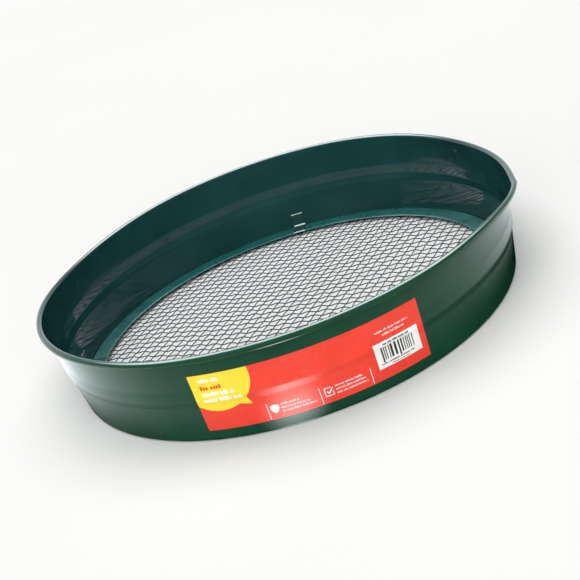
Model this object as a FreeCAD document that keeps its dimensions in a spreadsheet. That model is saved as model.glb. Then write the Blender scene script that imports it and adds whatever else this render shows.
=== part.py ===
"""Soil sieve: a tapered sheet-steel hoop with a woven wire mesh clamped in its foot.

Millimetres, +Z up, origin on the floor at the centre of the foot, label facing -Y.
"""
import FreeCAD, Part
import Sketcher

import math
import os

from FreeCAD import Placement, Rotation, Vector

doc = FreeCAD.newDocument("SoilSieve")

# ---------------------------------------------------------------- driving dimensions

DIMENSIONS = [
    # hoop, one strip of sheet rolled round, swaged, curled at the top and turned in at the foot
    ("overallHeight", 68.0),
    ("rimRadius", 180.0),
    ("sheet", 0.8),
    ("curlRadius", 2.5),
    ("footRadius", 167.0),
    ("footBend", 3.0),
    ("lipInner", 157.0),
    ("ribCentre", 35.5),
    ("ribHalfHeight", 6.0),
    ("ribDepth", 0.9),
    ("lapAngle", 2.6),
    ("lapBottom", 5.0),
    ("lapTop", 61.0),
    ("seamAzimuth", -21.4),
    # woven mesh
    ("meshRadius", 162.5),
    ("meshPitch", 7.0),
    ("wireDiameter", 0.9),
    ("wireSlack", 0.05),
    ("warpAngle", 57.5),
    # flat ring that holds the mesh down
    ("ringInner", 152.0),
    ("ringOuter", 166.0),
    # bent clips, welded to the hoop and folded over the ring
    ("clipWidth", 10.0),
    ("clipSheet", 0.8),
    ("clipRise", 11.0),
    ("clipFootInner", 151.2),
    ("clipAzimuth", 80.0),
    # paper label on the front of the hoop
    ("labelBottom", 9.0),
    ("labelTop", 52.8),
    ("labelAngle", 51.2),
    ("labelAzimuth", -91.1),
    ("labelThickness", 0.2),
]

CLIP_COUNT = 4

sheet_of_sizes = doc.addObject("Spreadsheet::Sheet", "Dims")
for row, (alias, value) in enumerate(DIMENSIONS, start=1):
    sheet_of_sizes.set("A%d" % row, alias)
    sheet_of_sizes.set("B%d" % row, str(value))
    sheet_of_sizes.setAlias("B%d" % row, alias)
doc.recompute()


class Size:
    """A length that carries its number and the expression that ties it to the sheet."""

    def __init__(self, value, text):
        self.value = float(value)
        self.text = text

    def _join(self, other, sign, value):
        return Size(value, "(%s %s %s)" % (self.text, sign, other.text))

    def __add__(self, other):
        other = as_size(other)
        return self._join(other, "+", self.value + other.value)

    def __sub__(self, other):
        other = as_size(other)
        return self._join(other, "-", self.value - other.value)

    def __mul__(self, other):
        other = as_size(other)
        return self._join(other, "*", self.value * other.value)

    def __truediv__(self, other):
        other = as_size(other)
        return self._join(other, "/", self.value / other.value)


def as_size(item):
    if isinstance(item, Size):
        return item
    return Size(item, "%.6f" % item)


def size(alias):
    return Size(sheet_of_sizes.get(alias), "Dims.%s" % alias)


# ---------------------------------------------------------------- shared helpers


def origin_plane(body, role):
    for feature in body.Origin.OriginFeatures:
        if feature.Role == role:
            return feature
    raise RuntimeError("no %s in %s" % (role, body.Name))


def new_body(label):
    body = doc.addObject("PartDesign::Body", label)
    body.Label = label
    return body


def new_sketch(body, name, role):
    sketch = body.newObject("Sketcher::SketchObject", name)
    sketch.AttachmentSupport = (origin_plane(body, role), [""])
    sketch.MapMode = "FlatFace"
    return sketch


def fix_point(sketch, edge, end, x, y):
    """Tie one end of a sketch edge to two sheet expressions."""
    for kind, target in (("DistanceX", x), ("DistanceY", y)):
        number = sketch.addConstraint(Sketcher.Constraint(kind, -1, 1, edge, end, target.value))
        sketch.setExpression("Constraints[%d]" % number, target.text)


def bearing(centre, point):
    """Angle of a point about a centre, from 0 to a full turn."""
    return math.atan2(point.y - centre.y, point.x - centre.x) % (2 * math.pi)


def arc_through(start, via, finish):
    """Anticlockwise arc through three points, and whether it runs from start to finish."""
    outline = Part.Arc(start, via, finish).toShape().Curve
    centre = outline.Center
    first = bearing(centre, start)
    middle = (bearing(centre, via) - first) % (2 * math.pi)
    sweep = (bearing(centre, finish) - first) % (2 * math.pi)
    circle = Part.Circle(centre, Vector(0, 0, 1), outline.Radius)
    if middle < sweep:
        return Part.ArcOfCircle(circle, first, first + sweep), True
    last = bearing(centre, finish)
    return Part.ArcOfCircle(circle, last, last + 2 * math.pi - sweep), False


def draw_section(sketch, corners, arcs):
    """Closed section through corners; arcs maps a starting corner to (via point, radius).

    Every corner is tied to the sheet, and so is the radius of every arc.
    """
    count = len(corners)
    ends = []
    for index in range(count):
        start = Vector(corners[index][0].value, corners[index][1].value, 0)
        following = corners[(index + 1) % count]
        finish = Vector(following[0].value, following[1].value, 0)
        forward = True
        if index in arcs:
            via = Vector(arcs[index][0][0], arcs[index][0][1], 0)
            edge, forward = arc_through(start, via, finish)
        else:
            edge = Part.LineSegment(start, finish)
        sketch.addGeometry(edge, False)
        ends.append((1, 2) if forward else (2, 1))
    for index in range(count):
        after = (index + 1) % count
        joint = Sketcher.Constraint("Coincident", index, ends[index][1], after, ends[after][0])
        sketch.addConstraint(joint)
    for index, (x, y) in enumerate(corners):
        fix_point(sketch, index, ends[index][0], x, y)
    for index, (via, radius) in arcs.items():
        number = sketch.addConstraint(Sketcher.Constraint("Radius", index, radius.value))
        sketch.setExpression("Constraints[%d]" % number, radius.text)


def revolve(body, sketch, name, angle):
    """Turn a section about the vertical axis, half the angle to each side of its plane."""
    turned = body.newObject("PartDesign::Revolution", name)
    turned.Profile = sketch
    turned.ReferenceAxis = (sketch, ["V_Axis"])
    turned.Midplane = True
    turned.setExpression("Angle", angle)
    return turned


def circle_edges(shape, radius, height):
    """Names of the full-circle edges of a shape at one radius and height."""
    names = []
    for number, edge in enumerate(shape.Edges, start=1):
        curve = edge.Curve
        if not isinstance(curve, Part.Circle):
            continue
        same_radius = abs(curve.Radius - radius) < 1e-3
        if same_radius and abs(curve.Center.z - height) < 1e-3:
            names.append("Edge%d" % number)
    return names


# ---------------------------------------------------------------- hoop outline

height = size("overallHeight")
sheet = size("sheet")
curl = size("curlRadius")
foot = size("footRadius")
rib_centre = size("ribCentre")
rib_half = size("ribHalfHeight")
rib_depth = size("ribDepth")

curl_x = size("rimRadius") - curl
curl_z = height - curl
neck = curl_x - curl + sheet
taper = (neck - foot) / curl_z

# direction from the curl's centre to its cut edge, which tucks back towards the wall
CURL_END_COS = -0.45
CURL_END_SIN = -math.sqrt(1 - CURL_END_COS**2)


def wall_radius(z, offset=0.0):
    """Radius of the wall's outer face at height z, moved outward by an offset."""
    return foot + taper * z + offset


rib_low = rib_centre - rib_half
rib_high = rib_centre + rib_half
rib_arc_radius = (rib_half * rib_half + rib_depth * rib_depth) / (rib_depth * 2.0)
rib_crest = wall_radius(rib_centre) + rib_depth


def rib_arc(offset):
    """Crest point and radius of the swaged rib, on the face lying offset outside the wall's."""
    return ((rib_crest.value + offset, rib_centre.value), rib_arc_radius)


# ---------------------------------------------------------------- hoop

hoop = new_body("hoop")
hoop_section = new_sketch(hoop, "HoopSection", "XZ_Plane")

inner_curl = curl - sheet
corners = [
    (size("lipInner"), as_size(0.0)),
    (foot, as_size(0.0)),
    (wall_radius(rib_low), rib_low),
    (wall_radius(rib_high), rib_high),
    (neck, curl_z),
    (curl_x + inner_curl * CURL_END_COS, curl_z + inner_curl * CURL_END_SIN),
    (curl_x + curl * CURL_END_COS, curl_z + curl * CURL_END_SIN),
    (neck - sheet, curl_z),
    (wall_radius(rib_high) - sheet, rib_high),
    (wall_radius(rib_low) - sheet, rib_low),
    (wall_radius(sheet) - sheet, sheet),
    (size("lipInner"), sheet),
]
arcs = {
    2: rib_arc(0.0),
    4: ((curl_x.value, curl_z.value + inner_curl.value), inner_curl),
    6: ((curl_x.value, curl_z.value + curl.value), curl),
    8: rib_arc(-sheet.value),
}
draw_section(hoop_section, corners, arcs)
doc.recompute()
hoop_turn = revolve(hoop, hoop_section, "HoopRolled", "360")
doc.recompute()

outer_corner = circle_edges(hoop_turn.Shape, foot.value, 0.0)
foot_bend = hoop.newObject("PartDesign::Fillet", "FootBendOutside")
foot_bend.Base = (hoop_turn, outer_corner)
foot_bend.setExpression("Radius", "Dims.footBend")
doc.recompute()

inner_corner_radius = (wall_radius(sheet) - sheet).value
inner_corner = circle_edges(foot_bend.Shape, inner_corner_radius, sheet.value)
inner_bend = hoop.newObject("PartDesign::Fillet", "FootBendInside")
inner_bend.Base = (foot_bend, inner_corner)
inner_bend.setExpression("Radius", "Dims.footBend - Dims.sheet")
doc.recompute()

# The strip's end laps over its start and is welded there: a second thickness of sheet.
lap_low = size("lapBottom")
lap_high = size("lapTop")
lap_section = new_sketch(hoop, "LapSection", "XZ_Plane")
half_sheet = sheet / 2.0
lap_corners = [
    (wall_radius(lap_low) - half_sheet, lap_low),
    (wall_radius(lap_low) + sheet, lap_low),
    (wall_radius(rib_low) + sheet, rib_low),
    (wall_radius(rib_high) + sheet, rib_high),
    (wall_radius(lap_high) + sheet, lap_high),
    (wall_radius(lap_high) - half_sheet, lap_high),
    (wall_radius(rib_high) - half_sheet, rib_high),
    (wall_radius(rib_low) - half_sheet, rib_low),
]
lap_arcs = {2: rib_arc(sheet.value), 6: rib_arc(-half_sheet.value)}
draw_section(lap_section, lap_corners, lap_arcs)
doc.recompute()
before_lap = hoop.Shape.Volume
revolve(hoop, lap_section, "LapSeam", "Dims.lapAngle")
doc.recompute()
if hoop.Shape.Volume <= before_lap:
    raise RuntimeError("the lap seam added nothing")

hoop.Placement = Placement(Vector(0, 0, 0), Rotation(Vector(0, 0, 1), 0))
hoop.setExpression("Placement.Rotation.Angle", "Dims.seamAzimuth")

# ---------------------------------------------------------------- woven mesh

wires_per_side = int(size("ringInner").value // size("meshPitch").value) + 1


def wire_layer(label, turn, level):
    """One family of parallel wires, cut to the disc; turn is its angle from the warp in degrees."""
    heading = math.radians(size("warpAngle").value + turn)
    lie_down = Rotation(Vector(0, 0, 1), Vector(math.cos(heading), math.sin(heading), 0))
    direction = "(Dims.warpAngle + %d) * 1 deg" % turn
    wires = []
    for step in range(-wires_per_side, wires_per_side + 1):
        wire = doc.addObject("Part::Cylinder", "%s_%02d" % (label, step + wires_per_side))
        offset = "%d * Dims.meshPitch" % step
        half_length = "sqrt(Dims.meshRadius ^ 2 - (%s) ^ 2)" % offset
        wire.setExpression("Radius", "Dims.wireDiameter / 2")
        wire.setExpression("Height", "2 * %s" % half_length)
        wire.setExpression(
            "Placement.Base.x",
            "-(%s) * sin(%s) - %s * cos(%s)" % (offset, direction, half_length, direction),
        )
        wire.setExpression(
            "Placement.Base.y",
            "(%s) * cos(%s) - %s * sin(%s)" % (offset, direction, half_length, direction),
        )
        wire.setExpression("Placement.Base.z", level)
        wire.Placement = Placement(Vector(0, 0, 0), lie_down)
        wires.append(wire)
    layer = doc.addObject("Part::Compound", label)
    layer.Label = label
    layer.Links = wires


warp_level = "Dims.sheet + Dims.wireSlack + Dims.wireDiameter / 2"
weft_level = "Dims.sheet + 2 * Dims.wireSlack + Dims.wireDiameter * 1.5"
wire_layer("mesh_warp_wires", 0, warp_level)
wire_layer("mesh_weft_wires", 90, weft_level)

# ---------------------------------------------------------------- retaining ring

ring_level = "Dims.sheet + 3 * Dims.wireSlack + 2 * Dims.wireDiameter"

ring = new_body("retaining_ring")
ring_sketch = new_sketch(ring, "RingOutline", "XY_Plane")
for name in ("ringOuter", "ringInner"):
    radius = size(name)
    edge = ring_sketch.addGeometry(Part.Circle(Vector(0, 0, 0), Vector(0, 0, 1), radius.value), False)
    ring_sketch.addConstraint(Sketcher.Constraint("Coincident", edge, 3, -1, 1))
    number = ring_sketch.addConstraint(Sketcher.Constraint("Radius", edge, radius.value))
    ring_sketch.setExpression("Constraints[%d]" % number, radius.text)
ring_pad = ring.newObject("PartDesign::Pad", "RingSheet")
ring_pad.Profile = ring_sketch
ring_pad.setExpression("Length", "Dims.sheet")
ring.setExpression("Placement.Base.z", ring_level)

# ---------------------------------------------------------------- retaining clips

ring_top = sheet * 2.0 + size("wireSlack") * 4.0 + size("wireDiameter") * 2.0
clip_sheet = size("clipSheet")
clip_top = ring_top + size("clipRise")


def inside_wall(z):
    """Radius just clear of the hoop's inner face at height z."""
    return wall_radius(z) - sheet - size("wireSlack") * 3.0


CLIP_NAMES = ["retaining_clip_rear", "retaining_clip_left", "retaining_clip_front", "retaining_clip_right"]

for index in range(CLIP_COUNT):
    clip = new_body(CLIP_NAMES[index])
    clip_sketch = new_sketch(clip, "ClipSection%d" % index, "XZ_Plane")
    clip_corners = [
        (size("clipFootInner"), ring_top),
        (inside_wall(ring_top), ring_top),
        (inside_wall(clip_top), clip_top),
        (inside_wall(clip_top) - clip_sheet, clip_top),
        (inside_wall(ring_top + clip_sheet) - clip_sheet, ring_top + clip_sheet),
        (size("clipFootInner"), ring_top + clip_sheet),
    ]
    draw_section(clip_sketch, clip_corners, {})
    clip_pad = clip.newObject("PartDesign::Pad", "ClipStrip%d" % index)
    clip_pad.Profile = clip_sketch
    clip_pad.Midplane = True
    clip_pad.setExpression("Length", "Dims.clipWidth")
    clip.Placement = Placement(Vector(0, 0, 0), Rotation(Vector(0, 0, 1), 0))
    turn = "Dims.clipAzimuth + %d * 360 / %d" % (index, CLIP_COUNT)
    clip.setExpression("Placement.Rotation.Angle", turn)

# ---------------------------------------------------------------- label

label_body = new_body("label")
label_sketch = new_sketch(label_body, "LabelSection", "XZ_Plane")
label_low = size("labelBottom")
label_high = size("labelTop")
gap = size("wireSlack")
skin = gap + size("labelThickness")
label_corners = [
    (wall_radius(label_low, gap), label_low),
    (wall_radius(label_low, skin), label_low),
    (wall_radius(rib_low, skin), rib_low),
    (wall_radius(rib_high, skin), rib_high),
    (wall_radius(label_high, skin), label_high),
    (wall_radius(label_high, gap), label_high),
    (wall_radius(rib_high, gap), rib_high),
    (wall_radius(rib_low, gap), rib_low),
]
label_arcs = {2: rib_arc(skin.value), 6: rib_arc(gap.value)}
draw_section(label_sketch, label_corners, label_arcs)
doc.recompute()
revolve(label_body, label_sketch, "LabelWrap", "Dims.labelAngle")
label_body.Placement = Placement(Vector(0, 0, 0), Rotation(Vector(0, 0, 1), 0))
label_body.setExpression("Placement.Rotation.Angle", "Dims.labelAzimuth")

doc.recompute()

# ---------------------------------------------------------------- checks and export

NODES = ["hoop", "mesh_warp_wires", "mesh_weft_wires", "retaining_ring"] + CLIP_NAMES + ["label"]

for item in doc.Objects:
    if "Invalid" in item.State or "Error" in item.State:
        raise RuntimeError("%s did not build: %s" % (item.Label, item.State))

os.makedirs("parts", exist_ok=True)
for node in NODES:
    made = doc.getObjectsByLabel(node)[0]
    if made.Shape.isNull() or not made.Shape.isValid():
        raise RuntimeError("%s has no valid shape" % node)
    made.Shape.exportStep("parts/%s.step" % node)
    box = made.Shape.BoundBox
    print(
        "%-24s %2d solids  x %7.2f %7.2f  y %7.2f %7.2f  z %6.2f %6.2f  %9.1f mm3"
        % (
            node,
            len(made.Shape.Solids),
            box.XMin,
            box.XMax,
            box.YMin,
            box.YMax,
            box.ZMin,
            box.ZMax,
            made.Shape.Volume,
        )
    )
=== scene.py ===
import math
import random

import bmesh
import bpy
from mathutils import Matrix, Vector


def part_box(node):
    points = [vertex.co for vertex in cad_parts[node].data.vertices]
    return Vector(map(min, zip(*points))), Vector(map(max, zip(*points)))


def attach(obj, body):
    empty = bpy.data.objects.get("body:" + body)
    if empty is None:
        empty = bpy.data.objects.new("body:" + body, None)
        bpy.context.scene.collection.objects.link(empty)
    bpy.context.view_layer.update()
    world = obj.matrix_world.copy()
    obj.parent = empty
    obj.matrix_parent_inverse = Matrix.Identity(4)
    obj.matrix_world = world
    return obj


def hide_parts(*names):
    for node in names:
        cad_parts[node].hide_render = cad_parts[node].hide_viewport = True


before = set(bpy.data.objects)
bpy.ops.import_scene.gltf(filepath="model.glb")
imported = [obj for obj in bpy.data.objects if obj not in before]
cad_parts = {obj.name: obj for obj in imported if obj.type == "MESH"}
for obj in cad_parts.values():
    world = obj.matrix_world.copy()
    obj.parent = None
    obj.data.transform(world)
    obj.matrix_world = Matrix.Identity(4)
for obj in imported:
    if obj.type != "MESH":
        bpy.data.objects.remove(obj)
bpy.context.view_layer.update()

MM = 0.001
TURN = 2 * math.pi
random.seed(36)

# ---------------------------------------------------------------- sizes, in metres

_, hoop_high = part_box("hoop")
ring_low, ring_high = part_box("retaining_ring")
warp_low, warp_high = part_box("mesh_warp_wires")
_, weft_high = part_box("mesh_weft_wires")
clip_low, clip_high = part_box("retaining_clip_rear")
label_low, label_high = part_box("label")

HEIGHT = hoop_high.z
RIM_RADIUS = min(hoop_high.x, hoop_high.y)
SHEET = 0.8 * MM
CURL_RADIUS = 2.5 * MM
CURL_END = math.radians(-117)
FOOT_RADIUS = 167.0 * MM
FOOT_BEND = 3.0 * MM
LIP_INNER = 157.0 * MM
RIB_CREST = 33.5 * MM
RIB_ABOVE = 8.0 * MM
RIB_BELOW = 5.0 * MM
RIB_DEPTH = 1.05 * MM
RIB_ROUNDING = 0.35 * MM
LATHE_SEGMENTS = 480

# The neck is where the straight wall ends and the bead's curl begins.
NECK_RADIUS = RIM_RADIUS - 2 * CURL_RADIUS + SHEET
NECK_HEIGHT = HEIGHT - CURL_RADIUS
TAPER = (NECK_RADIUS - FOOT_RADIUS) / NECK_HEIGHT

# The rim stands out to a point at the seam, falling off sharply behind it and roundly in front.
SEAM_AZIMUTH = math.radians(-22.5)
SEAM_PEAK = 5.8 * MM
SEAM_SPREAD = math.radians(7.5)
SEAM_CREASE = math.radians(0.8)
SEAM_SHOULDER = math.radians(2)
SEAM_FRONT = math.radians(10)
SEAM_START = (SEAM_SHOULDER / SEAM_FRONT) ** 2

# Where the thin rolled rim has sprung out of true: azimuth, spread, outward and upward drift.
RIM_DRIFTS = [
    (math.radians(16), math.radians(21), -4.5 * MM, -3.3 * MM),
    (math.radians(150), math.radians(17), -2.6 * MM, -2.1 * MM),
]

# Powers of the height, as a share of the whole, by which the two kinds of drift grow.
SEAM_GROWTH = 5
RIM_GROWTH = 2

MESH_PITCH = 7.0 * MM
MESH_ANGLE = math.radians(57.5)
MESH_RADIUS = 162.3 * MM
WIRE_FINENESS = 0.94
WIRE_RADIUS = WIRE_FINENESS * (warp_high.z - warp_low.z) / 2
MESH_LEVEL = (warp_low.z + weft_high.z) / 2
WARP_CRIMP = 0.45 * WIRE_RADIUS
WEFT_CRIMP = 1.25 * WIRE_RADIUS

RING_INNER = 152.0 * MM
RING_OUTER = ring_high.x

LABEL_AZIMUTH = math.radians(-91.1)
LABEL_HALF = math.radians(25.6)
LABEL_GAP = 0.05 * MM
LABEL_SKIN = 0.2 * MM
LABEL_HEIGHT = label_high.z - label_low.z
LABEL_MEAN_RADIUS = 171.3 * MM
LABEL_WIDTH = 2 * LABEL_HALF * LABEL_MEAN_RADIUS


def rib_bulge(z):
    """How far the swaged rib stands out: a long flat slope above its crest, a short one below."""

    def ramp(away):
        """Zero below nought and equal to away above it, with the corner rounded."""
        return (away + math.hypot(away, RIB_ROUNDING)) / 2

    above, below = RIB_DEPTH / RIB_ABOVE, RIB_DEPTH / RIB_BELOW
    rise = below * ramp(z - (RIB_CREST - RIB_BELOW)) - (above + below) * ramp(z - RIB_CREST)
    return rise + above * ramp(z - (RIB_CREST + RIB_ABOVE))


def wall_radius(z):
    """Radius of the hoop's outer face at height z, before it drifts out of true."""
    return FOOT_RADIUS + TAPER * z + rib_bulge(z)


def turn_between(azimuth, other):
    """Smaller angle between two azimuths."""
    return abs((azimuth - other + math.pi) % TURN - math.pi)


def drift(azimuth, z):
    """Outward and upward drift of the wall, growing from nothing at the foot to most at the rim."""
    high = z / HEIGHT
    from_seam = math.hypot(turn_between(azimuth, SEAM_AZIMUTH), SEAM_CREASE) - SEAM_CREASE
    behind_seam = (azimuth - SEAM_AZIMUTH + math.pi) % TURN > math.pi
    if behind_seam:
        share = math.exp(-from_seam / SEAM_SPREAD)
    else:
        share = math.exp(-(((from_seam - SEAM_SHOULDER) / SEAM_FRONT) ** 2 - SEAM_START) / 2)
    out = SEAM_PEAK * high**SEAM_GROWTH * share
    up = 0.0
    for middle, spread, outward, upward in RIM_DRIFTS:
        share = high**RIM_GROWTH * math.exp(-((turn_between(azimuth, middle) / spread) ** 2) / 2)
        out += outward * share
        up += upward * share
    return out, up


# ---------------------------------------------------------------- mesh helpers


def add_mesh(name, verts, faces, materials):
    """Smooth-shaded piece with its normals facing out, riding on the one body."""
    mesh = bpy.data.meshes.new(name)
    mesh.from_pydata(verts, [], faces)
    mesh.validate()
    maker = bmesh.new()
    maker.from_mesh(mesh)
    bmesh.ops.recalc_face_normals(maker, faces=maker.faces)
    maker.to_mesh(mesh)
    maker.free()
    for polygon in mesh.polygons:
        polygon.use_smooth = True
    for material in materials:
        mesh.materials.append(material)
    piece = bpy.data.objects.new(name, mesh)
    bpy.context.collection.objects.link(piece)
    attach(piece, "root")
    return piece


def lathe(name, loop, segments, materials, pull=None, inner_strips=(0, 0)):
    """Turn a closed section loop of (radius, height) about the vertical axis.

    The strips of the loop between the two numbers in inner_strips take the last material.
    """
    verts = []
    for step in range(segments):
        azimuth = TURN * step / segments
        for radius, z in loop:
            out, up = pull(azimuth, z) if pull else (0.0, 0.0)
            reach = radius + out
            verts.append((reach * math.cos(azimuth), reach * math.sin(azimuth), z + up))
    size = len(loop)
    faces = []
    for step in range(segments):
        here = step * size
        after = ((step + 1) % segments) * size
        for k in range(size):
            n = (k + 1) % size
            faces.append((here + k, after + k, after + n, here + n))
    piece = add_mesh(name, verts, faces, materials)
    for number, polygon in enumerate(piece.data.polygons):
        if inner_strips[0] <= number % size < inner_strips[1]:
            polygon.material_index = len(materials) - 1
    return piece


CAP_STEPS = 4


def thicken(path, thickness, cap_steps=CAP_STEPS):
    """Closed loop around an open path of (radius, height), with rounded ends."""
    half = thickness / 2
    points = [Vector(p) for p in path]
    normals = []
    for k, point in enumerate(points):
        before = points[max(k - 1, 0)]
        after = points[min(k + 1, len(points) - 1)]
        along = (after - before).normalized()
        normals.append(Vector((along.y, -along.x)))
    outside = [p + n * half for p, n in zip(points, normals)]
    inside = [p - n * half for p, n in zip(points, normals)]

    def cap(point, normal):
        """Half circle from one face of the sheet to the other round its cut edge."""
        ahead = Vector((-normal.y, normal.x))
        made = []
        for step in range(1, cap_steps):
            turn = math.pi * step / cap_steps
            made.append(point + (normal * math.cos(turn) + ahead * math.sin(turn)) * half)
        return made

    end = cap(points[-1], normals[-1])
    start = cap(points[0], -normals[0])
    return [tuple(p) for p in outside + end + inside[::-1] + start]


def arc_points(centre, radius, start, finish, steps):
    """Points along an arc, both ends included."""
    made = []
    for step in range(steps + 1):
        turn = start + (finish - start) * step / steps
        made.append((centre[0] + radius * math.cos(turn), centre[1] + radius * math.sin(turn)))
    return made


# ---------------------------------------------------------------- materials

# Most of a noise texture's values lie between these two.
NOISE_LOW = 0.3
NOISE_HIGH = 0.7

# Noise scales, in cells per metre, and the depths of the fine relief.
MOTTLE_SCALE = 28.0
GLOSS_SCALE = 55.0
ORANGE_PEEL_SCALE = 620.0
ORANGE_PEEL_DEPTH = 0.3 * MM
INK_SCALE = 45.0
SHEEN_SCALE = 80.0
TOOTH_SCALE = 900.0
TOOTH_DEPTH = 0.2 * MM
TOOTH_STRENGTH = 0.05


class Nodes:
    """Short way of laying out one procedural material."""

    def __init__(self, name, **fixed):
        self.material = bpy.data.materials.new(name)
        self.material.use_nodes = True
        self.tree = self.material.node_tree
        self.shader = self.tree.nodes["Principled BSDF"]
        for socket, value in fixed.items():
            self.shader.inputs[socket.replace("_", " ")].default_value = value
        self.place = self.tree.nodes.new("ShaderNodeTexCoord").outputs["Object"]

    def link(self, source, target):
        self.tree.links.new(source, target)

    def noise(self, scale, detail):
        node = self.tree.nodes.new("ShaderNodeTexNoise")
        node.inputs["Scale"].default_value = scale
        node.inputs["Detail"].default_value = detail
        self.link(self.place, node.inputs["Vector"])
        return node.outputs["Fac"]

    def ramp(self, source, stops):
        """Colours blended between stops of (position, colour)."""
        node = self.tree.nodes.new("ShaderNodeValToRGB")
        elements = node.color_ramp.elements
        while len(elements) < len(stops):
            elements.new(0.5)
        for element, (position, colour) in zip(elements, stops):
            element.position = position
            element.color = (*colour, 1.0)
        self.link(source, node.inputs["Fac"])
        return node.outputs["Color"]

    def spread(self, source, low, high):
        """Noise stretched to run from low to high."""
        node = self.tree.nodes.new("ShaderNodeMapRange")
        node.inputs["From Min"].default_value = NOISE_LOW
        node.inputs["From Max"].default_value = NOISE_HIGH
        node.inputs["To Min"].default_value = low
        node.inputs["To Max"].default_value = high
        self.link(source, node.inputs["Value"])
        return node.outputs["Result"]

    def bump(self, source, strength, distance):
        node = self.tree.nodes.new("ShaderNodeBump")
        node.inputs["Strength"].default_value = strength
        node.inputs["Distance"].default_value = distance
        self.link(source, node.inputs["Height"])
        self.link(node.outputs["Normal"], self.shader.inputs["Normal"])


def shade(colour, factor):
    """Colour made lighter or darker."""
    return tuple(min(1.0, c * factor) for c in colour)


def painted(name, colour, roughness, orange_peel=0.04, gloss=0.5):
    """Sprayed gloss paint: faint mottling, uneven gloss and orange peel."""
    made = Nodes(name)
    made.shader.inputs["Specular IOR Level"].default_value = gloss
    stops = [(NOISE_LOW, shade(colour, 0.84)), (0.55, colour), (0.75, shade(colour, 1.2))]
    mottle = made.ramp(made.noise(MOTTLE_SCALE, detail=5.0), stops)
    made.link(mottle, made.shader.inputs["Base Color"])
    uneven = made.spread(made.noise(GLOSS_SCALE, detail=6.0), *roughness)
    made.link(uneven, made.shader.inputs["Roughness"])
    made.bump(made.noise(ORANGE_PEEL_SCALE, detail=3.0), orange_peel, ORANGE_PEEL_DEPTH)
    return made.material


def printed(name, colour, roughness=(0.21, 0.35)):
    """Coated paper: even ink with slight density changes and paper tooth."""
    made = Nodes(name)
    stops = [(NOISE_LOW, shade(colour, 0.93)), (NOISE_HIGH, shade(colour, 1.04))]
    ink = made.ramp(made.noise(INK_SCALE, detail=6.0), stops)
    made.link(ink, made.shader.inputs["Base Color"])
    uneven = made.spread(made.noise(SHEEN_SCALE, detail=4.0), *roughness)
    made.link(uneven, made.shader.inputs["Roughness"])
    made.bump(made.noise(TOOTH_SCALE, detail=2.0), TOOTH_STRENGTH, TOOTH_DEPTH)
    return made.material


hoop_paint = painted("hoop_outside_green_paint", (0.0085, 0.058, 0.030), (0.11, 0.18), 0.025)
inside_paint = painted("hoop_inside_teal_paint", (0.009, 0.047, 0.046), (0.04, 0.09), 0.012)
ring_paint = painted("ring_teal_paint", (0.010, 0.098, 0.090), (0.22, 0.34))
clip_paint = painted("clip_teal_paint", (0.010, 0.047, 0.046), (0.16, 0.26), 0.02)
# The two paler clip colours are partly worn paint and partly a painted highlight on the clips' edges,
# tips and bends.
clip_bare_steel_and_highlight = painted("clip_bare_steel_and_painted_highlight_edge", (0.62, 0.66, 0.58), (0.25, 0.4))
clip_scuffed_and_highlight = painted("clip_scuffed_and_painted_highlight_edge", (0.10, 0.16, 0.15), (0.3, 0.45))
wire_coat = painted("mesh_wire_coating", (0.005, 0.018, 0.026), (0.3, 0.45), gloss=0.2)
label_red = printed("label_red_paper", (0.86, 0.052, 0.028))
ink_yellow = printed("label_yellow_ink", (0.93, 0.72, 0.035))
ink_white = printed("label_white_ink", (0.88, 0.88, 0.86))
ink_black = printed("label_black_ink", (0.03, 0.03, 0.03))

# ---------------------------------------------------------------- hoop

FOOT_BEND_STEPS = 10
WALL_STEPS = 90
CURL_STEPS = 40
CURL_TOP_STEP = 14

# The middle line of the sheet: foot lip, bend, tapered wall and curled bead.
mid_foot = FOOT_RADIUS - SHEET / 2
bend = FOOT_BEND - SHEET / 2
lean = math.atan(TAPER)
bend_tangent = bend * math.tan((math.pi / 2 - lean) / 2)
corner = (mid_foot + TAPER * SHEET / 2, SHEET / 2)
bend_centre = (corner[0] - bend_tangent, SHEET / 2 + bend)
wall_start = (bend_centre[0] + bend * math.cos(lean), bend_centre[1] - bend * math.sin(lean))

section = [(LIP_INNER + SHEET / 2, SHEET / 2), ((LIP_INNER + bend_centre[0]) / 2, SHEET / 2)]
section += arc_points(bend_centre, bend, -math.pi / 2, -lean, FOOT_BEND_STEPS)
for step in range(1, WALL_STEPS):
    z = wall_start[1] + (NECK_HEIGHT - wall_start[1]) * step / WALL_STEPS
    section.append((wall_radius(z) - SHEET / 2, z))
curl_centre = (NECK_RADIUS - SHEET + CURL_RADIUS, NECK_HEIGHT)
wall_count = len(section)
section += arc_points(curl_centre, CURL_RADIUS - SHEET / 2, math.pi, CURL_END, CURL_STEPS)
section_loop = thicken(section, SHEET)

# From the top of the bead inwards and down, the sheet shows its teal inside.
inside_from = len(section_loop) - CAP_STEPS - wall_count - CURL_TOP_STEP
hoop = lathe(
    "hoop_rolled_sheet",
    section_loop,
    LATHE_SEGMENTS,
    [hoop_paint, inside_paint],
    drift,
    (inside_from, len(section_loop)),
)
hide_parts("hoop")

# ---------------------------------------------------------------- woven mesh

WEFT_SWAY = 2.6 * MM
SWAY_LENGTH = 190.0 * MM
SWAY_START = 10.0 * MM
WIRE_END_GAP = 1.0 * MM
TUBE_SIDES = 8
STEPS_PER_PITCH = 6


def weft_sway(s):
    """How far a weft wire has drifted sideways at s along it: the cloth isn't quite true."""
    at_start = math.sin(TURN * SWAY_START / SWAY_LENGTH)
    wander = math.sin(TURN * (s + SWAY_START) / SWAY_LENGTH) - at_start
    held_edge = max(0.0, 1 - (s / MESH_RADIUS) ** 4)
    return WEFT_SWAY * wander * held_edge


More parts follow.
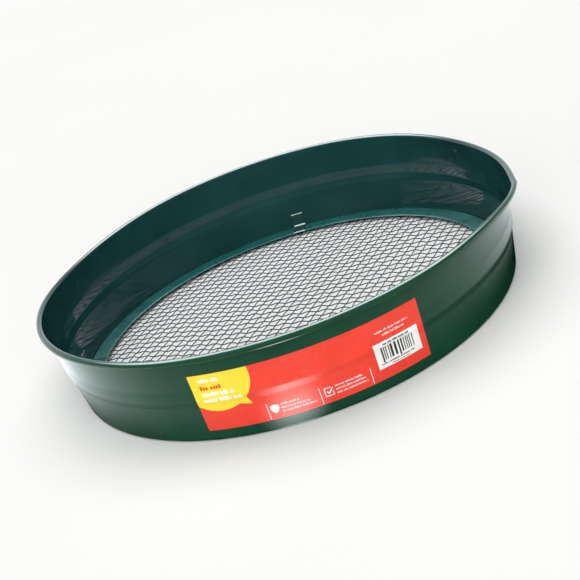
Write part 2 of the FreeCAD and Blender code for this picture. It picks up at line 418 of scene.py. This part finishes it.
def wire_mesh(name, heading, is_warp):
    """One family of parallel wires, crimped so that it passes over and under the other."""
    crimp = WARP_CRIMP if is_warp else WEFT_CRIMP
    along = Vector((math.cos(heading), math.sin(heading), 0))
    side = Vector((-math.sin(heading), math.cos(heading), 0))
    verts, faces = [], []
    reach = int(RING_INNER / MESH_PITCH) + 1
    sign = 1 if is_warp else -1
    for index in range(-reach, reach + 1):
        offset = index * MESH_PITCH
        half = math.sqrt(MESH_RADIUS**2 - offset**2) - WIRE_END_GAP
        steps = int(2 * half / MESH_PITCH * STEPS_PER_PITCH)
        shift = weft_sway(offset) if is_warp else 0.0
        for step in range(steps + 1):
            s = -half + 2 * half * step / steps
            sway = 0.0 if is_warp else weft_sway(s)
            phase = math.pi * ((s - shift) / MESH_PITCH + index)
            lift = sign * crimp * math.cos(phase)
            slope = -sign * crimp * math.pi / MESH_PITCH * math.sin(phase)
            tangent = (along + Vector((0, 0, slope))).normalized()
            up = side.cross(tangent) * -1
            centre = along * s + side * (offset + sway) + Vector((0, 0, MESH_LEVEL + lift))
            for k in range(TUBE_SIDES):
                turn = TURN * (k + 0.5) / TUBE_SIDES
                verts.append(centre + (side * math.cos(turn) + up * math.sin(turn)) * WIRE_RADIUS)
            base = len(verts) - TUBE_SIDES
            if step:
                for k in range(TUBE_SIDES):
                    n = (k + 1) % TUBE_SIDES
                    before = base - TUBE_SIDES
                    faces.append((before + k, before + n, base + n, base + k))
            if step in (0, steps):
                faces.append(tuple(base + k for k in range(TUBE_SIDES)))
    return add_mesh(name, verts, faces, [wire_coat])


warp = wire_mesh("mesh_warp_crimped_wires", MESH_ANGLE, True)
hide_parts("mesh_warp_wires")
weft = wire_mesh("mesh_weft_crimped_wires", MESH_ANGLE + math.pi / 2, False)
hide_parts("mesh_weft_wires")
warp.visible_shadow = False
weft.visible_shadow = False

# ---------------------------------------------------------------- retaining ring and clips

RING_STEPS = 8
ring_middle = (ring_low.z + ring_high.z) / 2
ring_path = []
for step in range(RING_STEPS + 1):
    radius = RING_INNER + SHEET / 2 + (RING_OUTER - RING_INNER - SHEET) * step / RING_STEPS
    ring_path.append((radius, ring_middle))
ring_loop = thicken(ring_path, ring_high.z - ring_low.z)
ring = lathe("retaining_ring_sheet", ring_loop, LATHE_SEGMENTS, [ring_paint])
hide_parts("retaining_ring")

CLIP_WIDTH = 10.0 * MM
CLIP_FOOT_INNER = 151.2 * MM
CLIP_BEND = 1.2 * MM
CLIP_GAP = 0.15 * MM
CLIP_BEND_STEPS = 6
CLIP_CAP_STEPS = 6
CLIP_SHARP_ANGLE = math.radians(50)
CLIP_AZIMUTHS = {"rear": 80, "left": 170, "front": 260, "right": 350}

# Cross-sections along a clip's width, in widths from its middle, and how full each one is:
# the two cut edges are rounded.
CLIP_SLICES = [(-0.5, 0.82), (-0.47, 0.96), (-0.44, 1.0), (0.44, 1.0), (0.47, 0.96), (0.5, 0.82)]

# How far the worn paint and the painted highlight reach from a clip's top edge, its tip and the start of
# its bend.
WORN_AND_HIGHLIT_TOP = 0.35 * MM
WORN_AND_HIGHLIT_TIP = 0.4 * MM
WORN_AND_HIGHLIT_BEND = 1.1 * MM


def clip_section():
    """Middle line of the bent strip: along the ring, round the bend and up the wall."""
    level = clip_low.z + SHEET / 2
    inset = SHEET * 1.5 + CLIP_GAP
    top = clip_high.z - SHEET / 2
    foot_end = wall_radius(level) - inset
    path = [(CLIP_FOOT_INNER + SHEET / 2, level), (foot_end - CLIP_BEND * 3, level)]
    centre = (foot_end - CLIP_BEND, level + CLIP_BEND)
    path += arc_points(centre, CLIP_BEND, -math.pi / 2, -lean, CLIP_BEND_STEPS)
    path += [(wall_radius(z) - inset, z) for z in (level + CLIP_BEND * 2.5, (level + top) / 2, top)]
    return path


def is_worn_or_highlit(centre):
    """Whether a face of a clip, with this centre, has lost its paint and takes the painted highlight of
    its edges.
    """
    bend_from = clip_low.z + SHEET
    at_top = centre.z > clip_high.z - WORN_AND_HIGHLIT_TOP
    at_tip = math.hypot(centre.x, centre.y) < CLIP_FOOT_INNER + WORN_AND_HIGHLIT_TIP
    at_bend = bend_from < centre.z < bend_from + WORN_AND_HIGHLIT_BEND
    return at_top or at_tip or at_bend


def bent_clip(name, azimuth, edge_wear_and_highlight):
    """Strip of sheet with its section turned to an azimuth, worn where it is rubbed and with a painted
    highlight on its edges and bend.
    """
    middle = [Vector(p) for p in clip_section()]
    loop = thicken(middle, SHEET, CLIP_CAP_STEPS)
    count = len(loop)
    turn = Matrix.Rotation(azimuth, 3, "Z")
    verts, faces = [], []
    for across, fullness in CLIP_SLICES:
        for radius, z in loop:
            point = Vector((radius, z))
            nearest = min(middle, key=lambda m: (m - point).length)
            if (point - nearest).length < SHEET:
                point = nearest + (point - nearest) * fullness
            verts.append(turn @ Vector((point.x, across * CLIP_WIDTH, point.y)))
    last = len(CLIP_SLICES) - 1
    for row in range(last):
        for k in range(count):
            n = (k + 1) % count
            a, b = row * count, (row + 1) * count
            faces.append((a + k, a + n, b + n, b + k))
    faces.append(tuple(range(count)))
    faces.append(tuple(last * count + k for k in range(count)))
    clip = add_mesh(name, verts, faces, [clip_paint, edge_wear_and_highlight])
    clip.data.set_sharp_from_angle(angle=CLIP_SHARP_ANGLE)
    # Faces at the top edge, tip and bend take the paler colour: worn paint and a painted highlight.
    for polygon in clip.data.polygons:
        if is_worn_or_highlit(polygon.center):
            polygon.material_index = 1
    return clip


for place, degrees in CLIP_AZIMUTHS.items():
    node = "retaining_clip_" + place
    # Only the rear clip's edges take the bright painted highlight; the other clips take a dimmer one.
    worn_and_highlight = clip_bare_steel_and_highlight if place == "rear" else clip_scuffed_and_highlight
    clip = bent_clip(node + "_bent_strip", math.radians(degrees), worn_and_highlight)
    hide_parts(node)

# ---------------------------------------------------------------- label

LABEL_CELLS = (120, 60)
LABEL_SHARP_ANGLE = math.radians(35)


def on_wall(across, z, lift):
    """Point off the hoop's outer face by lift, a distance across from the label's middle."""
    azimuth = LABEL_AZIMUTH + across / wall_radius(z)
    out, up = drift(azimuth, z)
    radius = wall_radius(z) + out + lift
    return (radius * math.cos(azimuth), radius * math.sin(azimuth), z + up)


def label_paper(name, material):
    """Thin sheet of even width lying on the hoop's outer face."""
    across, up = LABEL_CELLS
    verts = []
    for lift in (LABEL_GAP, LABEL_GAP + LABEL_SKIN):
        for i in range(across + 1):
            for j in range(up + 1):
                z = label_low.z + LABEL_HEIGHT * j / up
                verts.append(on_wall(LABEL_WIDTH * (i / across - 0.5), z, lift))
    layer = (across + 1) * (up + 1)

    def at(side, i, j):
        return side * layer + i * (up + 1) + j

    faces = []
    for i in range(across):
        for j in range(up):
            for side in (0, 1):
                low = (at(side, i, j), at(side, i + 1, j))
                faces.append((*low, at(side, i + 1, j + 1), at(side, i, j + 1)))
    for i in range(across):
        for j in (0, up):
            faces.append((at(0, i, j), at(0, i + 1, j), at(1, i + 1, j), at(1, i, j)))
    for j in range(up):
        for i in (0, across):
            faces.append((at(0, i, j), at(0, i, j + 1), at(1, i, j + 1), at(1, i, j)))
    piece = add_mesh(name, verts, faces, [material])
    piece.data.set_sharp_from_angle(angle=LABEL_SHARP_ANGLE)
    return piece


label = label_paper("label_paper", label_red)
label.visible_diffuse = False
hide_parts("label")

INK_LAYER = 0.03 * MM
PRINT_LIFT = LABEL_GAP + LABEL_SKIN + INK_LAYER
PRINT_STEP_ACROSS = 2.0 * MM
PRINT_STEP_UP = 0.75 * MM


def print_shapes(name, outlines, material, layer=0):
    """Flat ink shapes, given in fractions of the label, laid on its curved face."""
    maker = bmesh.new()
    for outline in outlines:
        corners = []
        for across, up in outline:
            corners.append(maker.verts.new(((across - 0.5) * LABEL_WIDTH, up * LABEL_HEIGHT, 0)))
        maker.faces.new(corners)
    bmesh.ops.triangulate(maker, faces=maker.faces[:])
    lowest = Vector((min(v.co.x for v in maker.verts), min(v.co.y for v in maker.verts), 0))
    highest = Vector((max(v.co.x for v in maker.verts), max(v.co.y for v in maker.verts), 0))
    for axis, step in ((0, PRINT_STEP_ACROSS), (1, PRINT_STEP_UP)):
        normal = Vector((1 - axis, axis, 0))
        cut = lowest[axis] + step
        while cut < highest[axis]:
            geometry = maker.verts[:] + maker.edges[:] + maker.faces[:]
            bmesh.ops.bisect_plane(maker, geom=geometry, plane_co=normal * cut, plane_no=normal)
            cut += step
    lift = PRINT_LIFT + layer * INK_LAYER
    for vert in maker.verts:
        vert.co = on_wall(vert.co.x, label_low.z + vert.co.y, lift)
    mesh = bpy.data.meshes.new(name)
    maker.to_mesh(mesh)
    maker.free()
    mesh.materials.append(material)
    piece = bpy.data.objects.new(name, mesh)
    bpy.context.collection.objects.link(piece)
    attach(piece, "root")
    return piece


def rectangle(left, low, right, high):
    """Outline of a rectangle, in fractions of the label."""
    return [(left, low), (right, low), (right, high), (left, high)]


label_width_mm = LABEL_WIDTH / MM
label_height_mm = LABEL_HEIGHT / MM

# The bubble's circle in millimetres from the label's lower left corner. The rest of the print is
# laid out in fractions of the label.
BUBBLE_CENTRE = (15.05, 39.5)
BUBBLE_RADIUS = 24.8
BUBBLE_STEPS = 14
TAIL_LOW = math.radians(-61)
TAIL_HIGH = math.radians(-44)
TAIL_TIP = (0.231, 0.362)


def bubble_arc(start, finish):
    """Points round part of the bubble's circle, in fractions of the label."""
    points = arc_points(BUBBLE_CENTRE, BUBBLE_RADIUS, start, finish, BUBBLE_STEPS)
    return [(x / label_width_mm, y / label_height_mm) for x, y in points]


def bubble_outline():
    """Speech bubble cut off by the label's top and left edges, its tail to the lower right."""
    left = -math.pi + math.acos(BUBBLE_CENTRE[0] / BUBBLE_RADIUS)
    right = math.asin((label_height_mm - BUBBLE_CENTRE[1]) / BUBBLE_RADIUS)
    return [(0.0, 1.0), *bubble_arc(left, TAIL_LOW), TAIL_TIP, *bubble_arc(TAIL_HIGH, right)]


WORD_LENGTHS = (4, 5, 6, 7, 8)
WORD_GAP = 0.8
LOW_BLOCKS = 0.72
LOW_BLOCK_HEIGHT = 0.74


def greeked(left, low, right, high, block_shape=0.42, weight=0.78):
    """A line of plain blocks in word-length groups, which stands for print and spells nothing."""
    made = []
    height = high - low
    width = height * label_height_mm * block_shape / label_width_mm
    x = left
    while x + width < right:
        word_end = min(x + width * random.choice(WORD_LENGTHS), right)
        while x + width < word_end:
            top = high if random.random() > LOW_BLOCKS else low + height * LOW_BLOCK_HEIGHT
            made.append(rectangle(x, low, x + width * weight, top))
            x += width
        x += width * WORD_GAP
    return made


print_shapes("label_speech_bubble", [bubble_outline()], ink_yellow)
bubble_lines = greeked(0.040, 0.862, 0.130, 0.930)
bubble_lines += greeked(0.036, 0.622, 0.184, 0.698)
bubble_lines += greeked(0.034, 0.516, 0.202, 0.590)
print_shapes("label_bubble_lines", bubble_lines, ink_white, 1)
bubble_bar = greeked(0.038, 0.730, 0.150, 0.800, block_shape=0.6)
print_shapes("label_bubble_bar", bubble_bar, label_red, 1)

DIVIDER_HALF = 0.0014
DIVIDER_LOW = 0.014
DIVIDER_HIGH = 0.298
dividers = []
for x in (0.279, 0.502, 0.7235):
    dividers.append(rectangle(x - DIVIDER_HALF, DIVIDER_LOW, x + DIVIDER_HALF, DIVIDER_HIGH))
print_shapes("label_dividers", dividers, ink_white)

shield = [(0.290, 0.235), (0.3087, 0.256), (0.327, 0.235), (0.3265, 0.175), (0.320, 0.135)]
shield += [(0.3087, 0.100), (0.297, 0.135), (0.2905, 0.175)]
print_shapes("label_shield_icon", [shield], ink_white)

BOX_LEFT, BOX_LOW, BOX_RIGHT, BOX_HIGH = 0.519, 0.110, 0.557, 0.262
BOX_LINE_ACROSS = 0.0035
BOX_LINE_UP = 0.014

# The box is open at its upper right corner, where the tick passes out of it.
tick_box = [
    rectangle(BOX_LEFT, BOX_LOW, BOX_RIGHT, BOX_LOW + BOX_LINE_UP),
    rectangle(BOX_LEFT, BOX_HIGH - BOX_LINE_UP, BOX_RIGHT - 0.008, BOX_HIGH),
    rectangle(BOX_LEFT, BOX_LOW + BOX_LINE_UP, BOX_LEFT + BOX_LINE_ACROSS, BOX_HIGH - BOX_LINE_UP),
    rectangle(BOX_RIGHT - BOX_LINE_ACROSS, BOX_LOW + BOX_LINE_UP, BOX_RIGHT, 0.185),
]
tick = [(0.527, 0.190), (0.530, 0.205), (0.5365, 0.172), (0.556, 0.252), (0.559, 0.240), (0.5375, 0.145)]
print_shapes("label_tick_icon", tick_box + [tick], ink_white)

SMALL_LINES = (
    (0.336, 0.222, 0.420, 0.256),
    (0.336, 0.158, 0.458, 0.192),
    (0.336, 0.096, 0.486, 0.130),
    (0.568, 0.232, 0.688, 0.266),
    (0.568, 0.170, 0.705, 0.204),
    (0.568, 0.108, 0.710, 0.142),
    (0.786, 0.764, 0.945, 0.800),
    (0.814, 0.696, 0.922, 0.732),
)
small_lines = []
for line in SMALL_LINES:
    small_lines += greeked(*line, block_shape=0.5, weight=0.55)
print_shapes("label_small_lines", small_lines, ink_white)

print_shapes("label_white_panel", [rectangle(0.762, 0.180, 0.9705, 0.617)], ink_white)

# Uneven bars that encode nothing, with a few longer ones at both ends and in the middle.
BARS_LEFT, BARS_MIDDLE, BARS_RIGHT = 0.789, 0.8665, 0.941
BARS_LOW, BARS_LONG_LOW, BARS_HIGH = 0.300, 0.268, 0.532
BAR_WIDTHS = (0.0044, 0.0044, 0.0072, 0.0100)
BAR_GAPS = (0.0044, 0.0060, 0.0084)
LONG_AT_END = 0.003
LONG_AT_MIDDLE = 0.002
bars = []
x = BARS_LEFT
while x < BARS_RIGHT:
    width = random.choice(BAR_WIDTHS)
    at_end = x < BARS_LEFT + LONG_AT_END or x > BARS_RIGHT - LONG_AT_END
    is_long = at_end or abs(x - BARS_MIDDLE) < LONG_AT_MIDDLE
    bars.append(rectangle(x, BARS_LONG_LOW if is_long else BARS_LOW, x + width, BARS_HIGH))
    x += width + random.choice(BAR_GAPS)
panel_lines = greeked(0.804, 0.556, 0.930, 0.592)
panel_lines += greeked(0.778, 0.238, 0.940, 0.264, block_shape=0.8)
panel_lines += greeked(0.823, 0.198, 0.913, 0.215, block_shape=0.6)
print_shapes("label_bar_pattern", bars + panel_lines, ink_black, 1)

# ---------------------------------------------------------------- studio

FLOOR_HALF = 30.0
FLOOR_LEVEL = -0.1 * MM
CARD_HALF = 2.5
CARD_LEVEL = -0.2 * MM


def stage_square(name, half, level, material):
    """Level square centred under the sieve, which isn't part of it."""
    mesh = bpy.data.meshes.new(name)
    corners = [(x * half, y * half, level) for x, y in ((-1, -1), (1, -1), (1, 1), (-1, 1))]
    mesh.from_pydata(corners, [], [(0, 1, 2, 3)])
    mesh.materials.append(material)
    square = bpy.data.objects.new(name, mesh)
    bpy.context.collection.objects.link(square)
    return square


def smooth_ramp(tree, source, between, values):
    """Value that eases from the first of values to the second as source crosses between."""
    node = tree.nodes.new("ShaderNodeMapRange")
    node.interpolation_type = "SMOOTHSTEP"
    node.inputs["From Min"].default_value = between[0]
    node.inputs["From Max"].default_value = between[1]
    node.inputs["To Min"].default_value = values[0]
    node.inputs["To Max"].default_value = values[1]
    tree.links.new(source, node.inputs["Value"])
    return node.outputs["Result"]


def combine(tree, operation, first, second):
    """Sum or product of two values, as the operation says."""
    node = tree.nodes.new("ShaderNodeMath")
    node.operation = operation
    tree.links.new(first, node.inputs[0])
    tree.links.new(second, node.inputs[1])
    return node.outputs["Value"]


def distance_from(tree, place, centre, squash=(1, 1, 1)):
    """Distance from a centre on the card, measured with its axes scaled."""
    mapping = tree.nodes.new("ShaderNodeMapping")
    mapping.vector_type = "TEXTURE"
    mapping.inputs["Location"].default_value = (*centre, CARD_LEVEL)
    mapping.inputs["Scale"].default_value = squash
    tree.links.new(place, mapping.inputs["Vector"])
    length = tree.nodes.new("ShaderNodeVectorMath")
    length.operation = "LENGTH"
    tree.links.new(mapping.outputs["Vector"], length.inputs[0])
    return length.outputs["Value"]


def pale_floor():
    """Matt off-white with a very faint unevenness."""
    look = Nodes("pale_floor", Roughness=0.95)
    look.shader.inputs["Specular IOR Level"].default_value = 0.0
    stops = [(NOISE_LOW, (0.80, 0.80, 0.79)), (NOISE_HIGH, (0.83, 0.83, 0.82))]
    uneven = look.ramp(look.noise(1.5, detail=2.0), stops)
    look.link(uneven, look.shader.inputs["Base Color"])
    return look.material


def card_glow():
    """Light from a floor that only reflections see.

    It is dim in front of the sieve, bright behind it, dark under the hoop as a painted shadow of the
    hoop in the reflections, and middling under the mesh, with one bright patch in front. Centres and
    distances are in metres.
    """
    material = bpy.data.materials.new("reflection_card_glow")
    material.use_nodes = True
    tree = material.node_tree
    tree.nodes.clear()
    place = tree.nodes.new("ShaderNodeTexCoord").outputs["Object"]
    axes = tree.nodes.new("ShaderNodeSeparateXYZ")
    tree.links.new(place, axes.inputs["Vector"])
    from_middle = distance_from(tree, place, (0.0, 0.0))
    from_foot_middle = distance_from(tree, place, (0.009, 0.0))
    from_patch = distance_from(tree, place, (-0.025, -0.184), (0.85, 0.8, 1.0))
    # No glow inside the foot: a painted shadow of the hoop, seen in the reflections.
    outside_foot = smooth_ramp(tree, from_foot_middle, (0.166, 0.224), (0.0, 1.0))
    front_to_back = smooth_ramp(tree, axes.outputs["Y"], (-0.27, 0.03), (0.1, 2.1))
    inside_mesh = smooth_ramp(tree, from_middle, (0.150, 0.156), (0.9, 0.0))
    patch = smooth_ramp(tree, from_patch, (0.002, 0.036), (8.0, 0.0))
    surround = combine(tree, "MULTIPLY", outside_foot, front_to_back)
    glow = combine(tree, "ADD", combine(tree, "ADD", surround, inside_mesh), patch)
    emission = tree.nodes.new("ShaderNodeEmission")
    emission.inputs["Color"].default_value = (0.90, 0.98, 1.0, 1.0)
    tree.links.new(glow, emission.inputs["Strength"])
    output = tree.nodes.new("ShaderNodeOutputMaterial")
    tree.links.new(emission.outputs["Emission"], output.inputs["Surface"])
    return material


def reflected_room():
    """World that lights reflections only: dim in front, pale behind and bright overhead."""
    world = bpy.data.worlds.new("studio")
    world.use_nodes = True
    tree = world.node_tree
    background = tree.nodes["Background"]
    background.inputs["Color"].default_value = (0.93, 0.98, 1.0, 1.0)
    axes = tree.nodes.new("ShaderNodeSeparateXYZ")
    direction = tree.nodes.new("ShaderNodeTexCoord").outputs["Generated"]
    tree.links.new(direction, axes.inputs["Vector"])
    behind = smooth_ramp(tree, axes.outputs["Y"], (-0.1, 0.9), (0.1, 1.0))
    low_down = smooth_ramp(tree, axes.outputs["Z"], (0.15, 0.62), (1.4, 1.0))
    not_in_front = smooth_ramp(tree, axes.outputs["Y"], (-0.2, 0.0), (0.0, 1.0))
    overhead = smooth_ramp(tree, axes.outputs["Z"], (0.58, 0.78), (0.0, 13.0))
    room = combine(tree, "MULTIPLY", behind, low_down)
    ceiling = combine(tree, "MULTIPLY", not_in_front, overhead)
    tree.links.new(combine(tree, "ADD", room, ceiling), background.inputs["Strength"])
    world.cycles_visibility.diffuse = False
    return world


def soft_sun(name, azimuth, elevation, spread, strength):
    """Very wide distant light, which softens the shading and stays out of reflections."""
    data = bpy.data.lights.new(name, "SUN")
    data.angle = math.radians(spread)
    data.energy = strength
    lamp = bpy.data.objects.new(name, data)
    bpy.context.collection.objects.link(lamp)
    azimuth, elevation = math.radians(azimuth), math.radians(elevation)
    level = math.cos(elevation)
    towards = Vector((math.cos(azimuth) * level, math.sin(azimuth) * level, math.sin(elevation)))
    lamp.rotation_euler = (-towards).to_track_quat("-Z", "Y").to_euler()
    lamp.visible_glossy = False


floor = stage_square("floor", FLOOR_HALF, FLOOR_LEVEL, pale_floor())
floor.visible_glossy = False
floor.visible_shadow = False
card = stage_square("reflection_card", CARD_HALF, CARD_LEVEL, card_glow())
card.visible_camera = False
card.visible_diffuse = False
card.visible_shadow = False
bpy.context.scene.world = reflected_room()
soft_sun("overhead_light", azimuth=90, elevation=84, spread=75, strength=2.35)
soft_sun("front_light", azimuth=-100, elevation=32, spread=70, strength=2.6)

# ---------------------------------------------------------------- camera

IMAGE_WIDTH = 580
FOCAL_PIXELS = 1200
ELEVATION = math.radians(22.86)
AZIMUTH = math.radians(0.13)
ROLL = math.radians(-19.63)
DISTANCE = 0.8936
AIM = Vector((1.2 * MM, 0, 18.3 * MM))

camera_data = bpy.data.cameras.new("camera")
camera_data.sensor_width = 36.0
camera_data.lens = FOCAL_PIXELS * camera_data.sensor_width / IMAGE_WIDTH
camera = bpy.data.objects.new("camera", camera_data)
bpy.context.collection.objects.link(camera)
level = math.cos(ELEVATION)
back = Vector((-math.sin(AZIMUTH) * level, -math.cos(AZIMUTH) * level, math.sin(ELEVATION)))
camera.location = AIM + back * DISTANCE
upright = (-back).to_track_quat("-Z", "Y").to_matrix()
camera.rotation_euler = (upright @ Matrix.Rotation(ROLL, 3, "Z")).to_euler()
bpy.context.scene.camera = camera
bpy.context.scene.view_settings.view_transform = "Standard"
